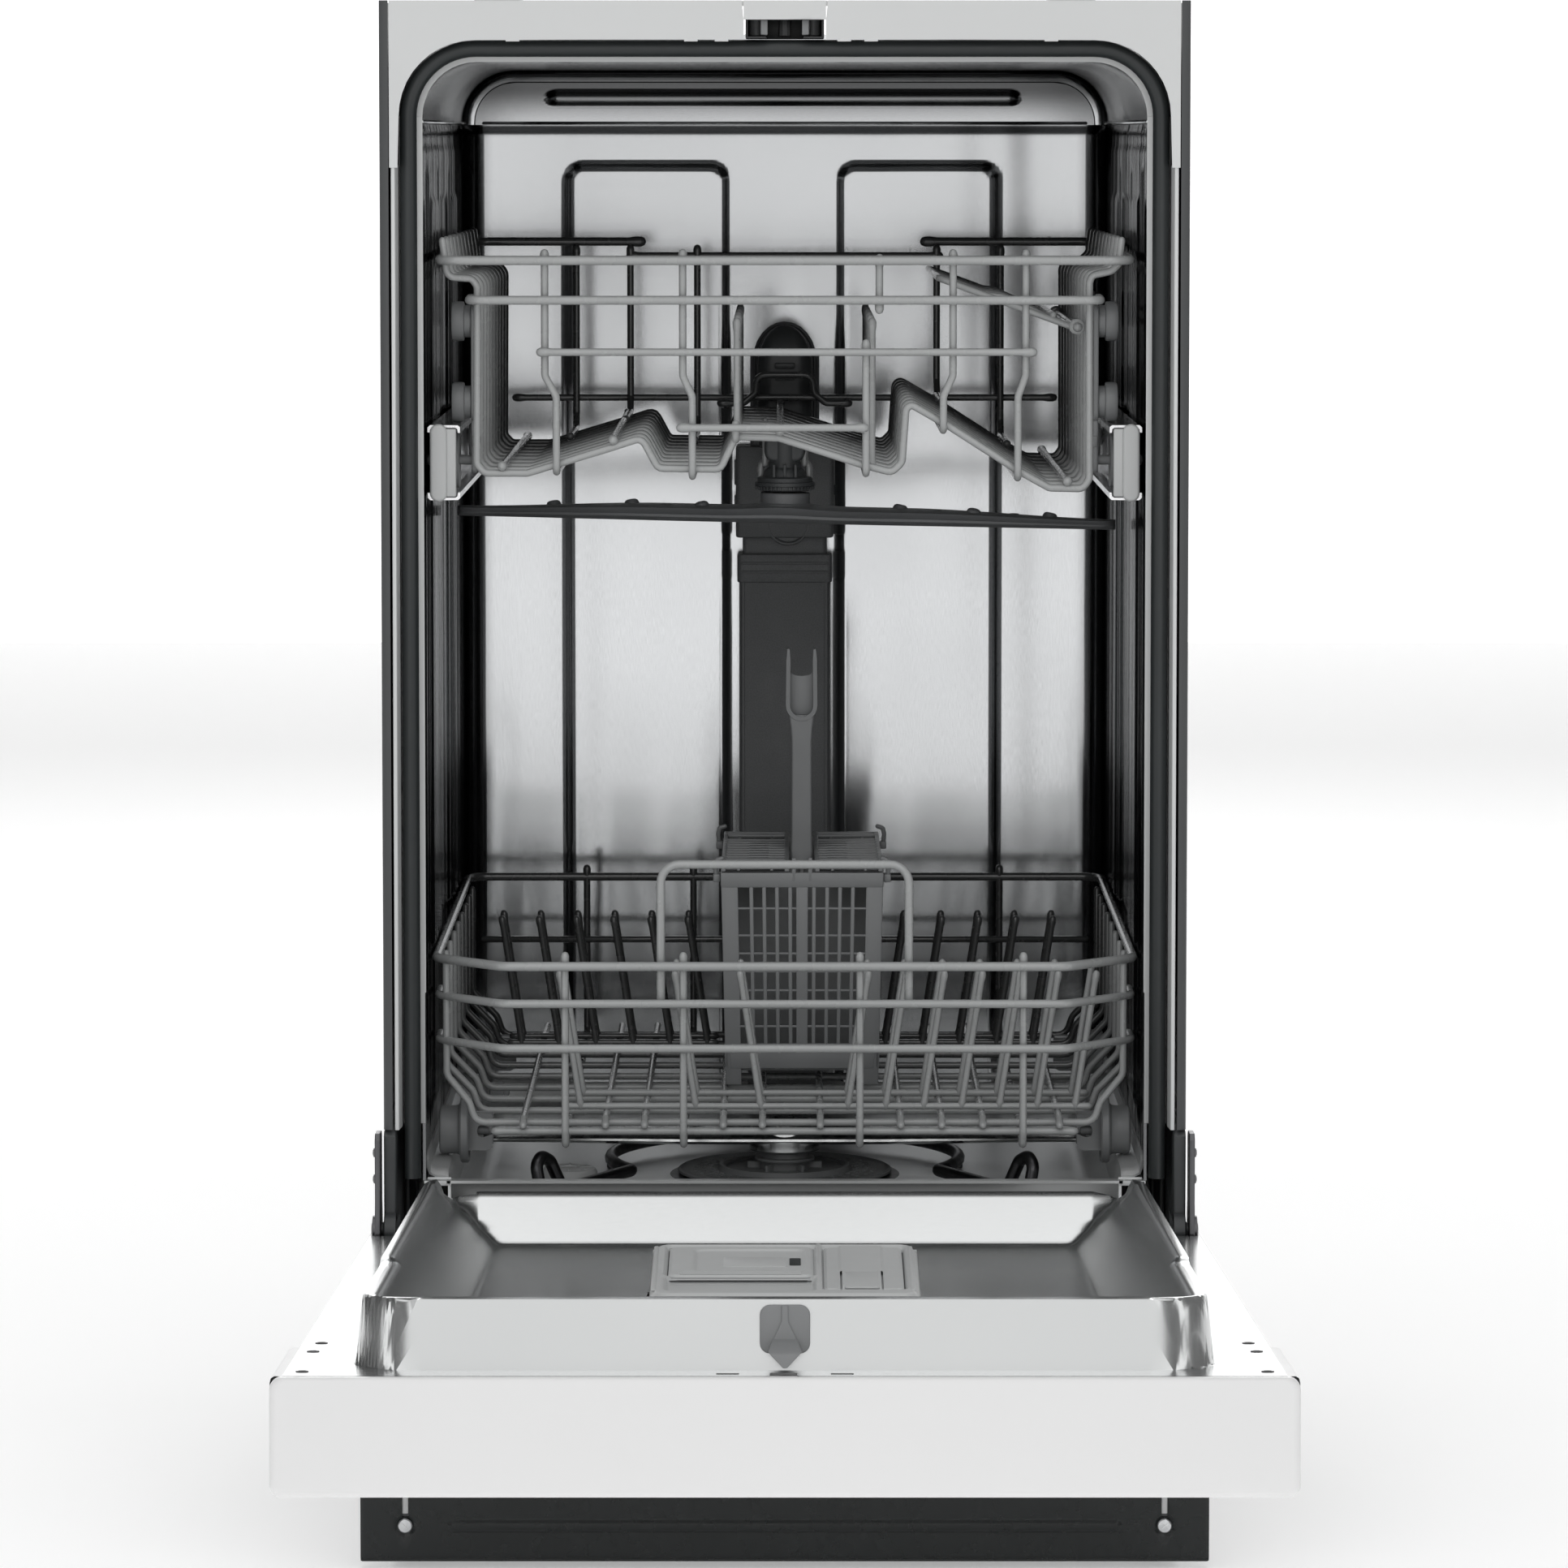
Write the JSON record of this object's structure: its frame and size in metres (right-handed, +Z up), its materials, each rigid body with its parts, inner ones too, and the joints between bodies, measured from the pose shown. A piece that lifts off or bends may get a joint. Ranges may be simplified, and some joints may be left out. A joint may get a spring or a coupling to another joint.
{
  "type": "built in dishwasher",
  "caption": "Compact built-in dishwasher with drop-down door, sliding wire racks, spray arms, cutlery basket and stainless tub.",
  "frame": {"origin": "on the floor, midway across, in the plane of the cabinet's front", "axes": "X to the right, +Y back into the cabinet, +Z up"},
  "size_m": [0.448, 1.1642, 0.8255],
  "materials": {
    "stainless": "bright brushed stainless sheet",
    "bright_frame": "light painted steel, satin",
    "side_panel_grey": "dark grey painted steel, satin",
    "toe_black": "black painted steel, semi-gloss",
    "door_white": "white enamelled steel, gloss",
    "console_white": "white moulded plastic, semi-gloss",
    "button_grey": "light grey moulded plastic",
    "seal_rubber": "black extruded rubber, satin",
    "black_plastic": "black moulded plastic, fine grain",
    "mid_grey_plastic": "mid grey moulded plastic, satin",
    "light_grey_plastic": "light grey moulded plastic, satin",
    "dark_grey_plastic": "dark grey moulded plastic, satin",
    "column_grey": "dark grey moulded plastic, fine grain",
    "rack_coating": "steel wire with a grey nylon coating, semi-gloss",
    "chrome_rail": "bright plated steel",
    "heater_tube": "dark heat-tinted steel tube",
    "zinc_steel": "zinc-plated steel",
    "bitumen_mat": "dark grey bitumen and felt blanket",
    "board_green": "green circuit board"
  },
  "bodies": {
    "cabinet": {"tub_side_walls": "stainless", "tub_back_wall": "stainless", "tub_cap": "stainless", "tub_floor": "stainless", "front_frame": "bright_frame", "door_gasket": "seal_rubber", "side_panels": "side_panel_grey", "top_crossbar": "bright_frame", "door_lock": "black_plastic", "base_pan": "black_plastic", "base_corners": "dark_grey_plastic", "toe_kick": "toe_black", "toe_kick_screws": "zinc_steel", "sump": "dark_grey_plastic", "heater": "heater_tube", "circulation_pump": "dark_grey_plastic", "drain_pump": "dark_grey_plastic", "inlet_valve": "light_grey_plastic", "junction_box": "zinc_steel", "hinge_springs": "zinc_steel", "rear_water_column": "column_grey", "rail_rollers": "mid_grey_plastic", "countertop_brackets": "zinc_steel", "insulation_blanket": "bitumen_mat", "rear_frame": "zinc_steel"},
    "lock_jaw_right": {"lock_jaw_right": "mid_grey_plastic"},
    "lock_jaw_left": {"lock_jaw_left": "mid_grey_plastic"},
    "foot_front_left": {"foot_front_left": "black_plastic"},
    "foot_front_right": {"foot_front_right": "black_plastic"},
    "foot_rear_left": {"foot_rear_left": "black_plastic"},
    "foot_rear_right": {"foot_rear_right": "black_plastic"},
    "filter": {"filter": "mid_grey_plastic"},
    "float": {"float": "light_grey_plastic"},
    "door": {"door_outer_panel": "door_white", "door_liner": "stainless", "door_console": "console_white", "control_board": "board_green", "dispenser_housing": "light_grey_plastic", "latch_hook": "mid_grey_plastic", "hinge_arms": "zinc_steel"},
    "detergent_lid": {"detergent_lid": "light_grey_plastic"},
    "rinse_aid_flap": {"rinse_aid_flap": "light_grey_plastic"},
    "power_button": {"power_button": "button_grey"},
    "program_button": {"program_button": "button_grey"},
    "start_button": {"start_button": "button_grey"},
    "lower_rack": {"lower_rack_basket": "rack_coating"},
    "wheel_front_left": {"wheel_front_left": "mid_grey_plastic"},
    "wheel_front_right": {"wheel_front_right": "mid_grey_plastic"},
    "wheel_rear_left": {"wheel_rear_left": "mid_grey_plastic"},
    "wheel_rear_right": {"wheel_rear_right": "mid_grey_plastic"},
    "cutlery_basket": {"cutlery_basket": "mid_grey_plastic"},
    "cutlery_lid_left": {"cutlery_lid_left": "mid_grey_plastic"},
    "cutlery_lid_right": {"cutlery_lid_right": "mid_grey_plastic"},
    "lower_spray_arm": {"lower_spray_arm": "stainless"},
    "upper_rack": {"upper_rack_basket": "rack_coating", "upper_rack_rollers": "mid_grey_plastic", "upper_feed_pipe": "dark_grey_plastic", "upper_rails": "chrome_rail"},
    "cup_shelf": {"cup_shelf": "rack_coating"},
    "upper_spray_arm": {"upper_spray_arm": "dark_grey_plastic"}
  },
  "joints": [
    {"name": "door_hinge", "type": "hinge", "parent": "cabinet", "child": "door", "pos_m": [0, 0, 0.177], "axis": [-1, 0, 0], "range_deg": [0, 86.27]},
    {"name": "detergent_lid_slide", "type": "slide", "parent": "door", "child": "detergent_lid", "axis": [0, -0.9981, -0.0614], "range_m": [0, 0.03]},
    {"name": "rinse_aid_hinge", "type": "hinge", "parent": "door", "child": "rinse_aid_flap", "pos_m": [0.0375, -0.29642, 0.2155], "axis": [-1, 0, 0], "range_deg": [0, 90]},
    {"name": "power_button_press", "type": "slide", "parent": "door", "child": "power_button", "axis": [0, 0.0651, 0.9979], "range_m": [0, 0.0015], "stiffness_N_per_m": 400, "springref_m": -0.002},
    {"name": "program_button_press", "type": "slide", "parent": "door", "child": "program_button", "axis": [0, 0.0651, 0.9979], "range_m": [0, 0.0015], "stiffness_N_per_m": 400, "springref_m": -0.002},
    {"name": "start_button_press", "type": "slide", "parent": "door", "child": "start_button", "axis": [0, 0.0651, 0.9979], "range_m": [0, 0.0015], "stiffness_N_per_m": 400, "springref_m": -0.002},
    {"name": "lock_jaw_right_turn", "type": "hinge", "parent": "cabinet", "child": "lock_jaw_right", "pos_m": [0.015, 0.02, 0.81], "axis": [0, 0, 1], "range_deg": [0, 12], "stiffness_Nm_per_rad": 0.02, "springref_deg": -5.73},
    {"name": "lock_jaw_left_turn", "type": "hinge", "parent": "cabinet", "child": "lock_jaw_left", "pos_m": [-0.015, 0.02, 0.81], "axis": [0, 0, -1], "range_deg": [0, 12], "stiffness_Nm_per_rad": 0.02, "springref_deg": -5.73},
    {"name": "foot_front_left_height", "type": "slide", "parent": "cabinet", "child": "foot_front_left", "axis": [0, 0, 1], "range_m": [-0.04, 0]},
    {"name": "foot_front_right_height", "type": "slide", "parent": "cabinet", "child": "foot_front_right", "axis": [0, 0, 1], "range_m": [-0.04, 0]},
    {"name": "foot_rear_left_height", "type": "slide", "parent": "cabinet", "child": "foot_rear_left", "axis": [0, 0, 1], "range_m": [-0.04, 0]},
    {"name": "foot_rear_right_height", "type": "slide", "parent": "cabinet", "child": "foot_rear_right", "axis": [0, 0, 1], "range_m": [-0.04, 0]},
    {"name": "filter_turn", "type": "hinge", "parent": "cabinet", "child": "filter", "pos_m": [0, 0.235, 0.15], "axis": [0, 0, 1], "range_deg": [0, 90]},
    {"name": "float_lift", "type": "slide", "parent": "cabinet", "child": "float", "axis": [0, 0, 1], "range_m": [0, 0.006]},
    {"name": "lower_rack_slide", "type": "slide", "parent": "cabinet", "child": "lower_rack", "axis": [0, 0.9979, -0.0651], "range_m": [-0.4, 0]},
    {"name": "wheel_front_left_roll", "type": "hinge", "parent": "lower_rack", "child": "wheel_front_left", "pos_m": [0, 0.084, 0.218], "axis": [1, 0, 0], "continuous": true},
    {"name": "wheel_front_right_roll", "type": "hinge", "parent": "lower_rack", "child": "wheel_front_right", "pos_m": [0, 0.084, 0.218], "axis": [1, 0, 0], "continuous": true},
    {"name": "wheel_rear_left_roll", "type": "hinge", "parent": "lower_rack", "child": "wheel_rear_left", "pos_m": [0, 0.394, 0.218], "axis": [1, 0, 0], "continuous": true},
    {"name": "wheel_rear_right_roll", "type": "hinge", "parent": "lower_rack", "child": "wheel_rear_right", "pos_m": [0, 0.394, 0.218], "axis": [1, 0, 0], "continuous": true},
    {"name": "cutlery_basket_lift", "type": "slide", "parent": "lower_rack", "child": "cutlery_basket", "axis": [0, 0, 1], "range_m": [0, 0.055]},
    {"name": "cutlery_lid_left_hinge", "type": "hinge", "parent": "cutlery_basket", "child": "cutlery_lid_left", "pos_m": [-0.035, 0.248, 0.3503], "axis": [0, -1, 0], "range_deg": [0, 95]},
    {"name": "cutlery_lid_right_hinge", "type": "hinge", "parent": "cutlery_basket", "child": "cutlery_lid_right", "pos_m": [0.054, 0.248, 0.3503], "axis": [0, 1, 0], "range_deg": [0, 95]},
    {"name": "lower_arm_spin", "type": "hinge", "parent": "cabinet", "child": "lower_spray_arm", "pos_m": [0, 0.235, 0.193], "axis": [0, 0, 1], "continuous": true},
    {"name": "upper_rack_slide", "type": "slide", "parent": "cabinet", "child": "upper_rack", "axis": [0, 1, 0], "range_m": [-0.29, 0]},
    {"name": "cup_shelf_fold", "type": "hinge", "parent": "upper_rack", "child": "cup_shelf", "pos_m": [0.156, 0.207, 0.652], "axis": [0, 1, 0], "range_deg": [0, 66]},
    {"name": "upper_arm_spin", "type": "hinge", "parent": "upper_rack", "child": "upper_spray_arm", "pos_m": [0, 0.235, 0.542], "axis": [0, 0, 1], "continuous": true}
  ],
  "couplings": [
    {"joint": "lock_jaw_left_turn", "follows": "lock_jaw_right_turn", "ratio": 1}
  ]
}
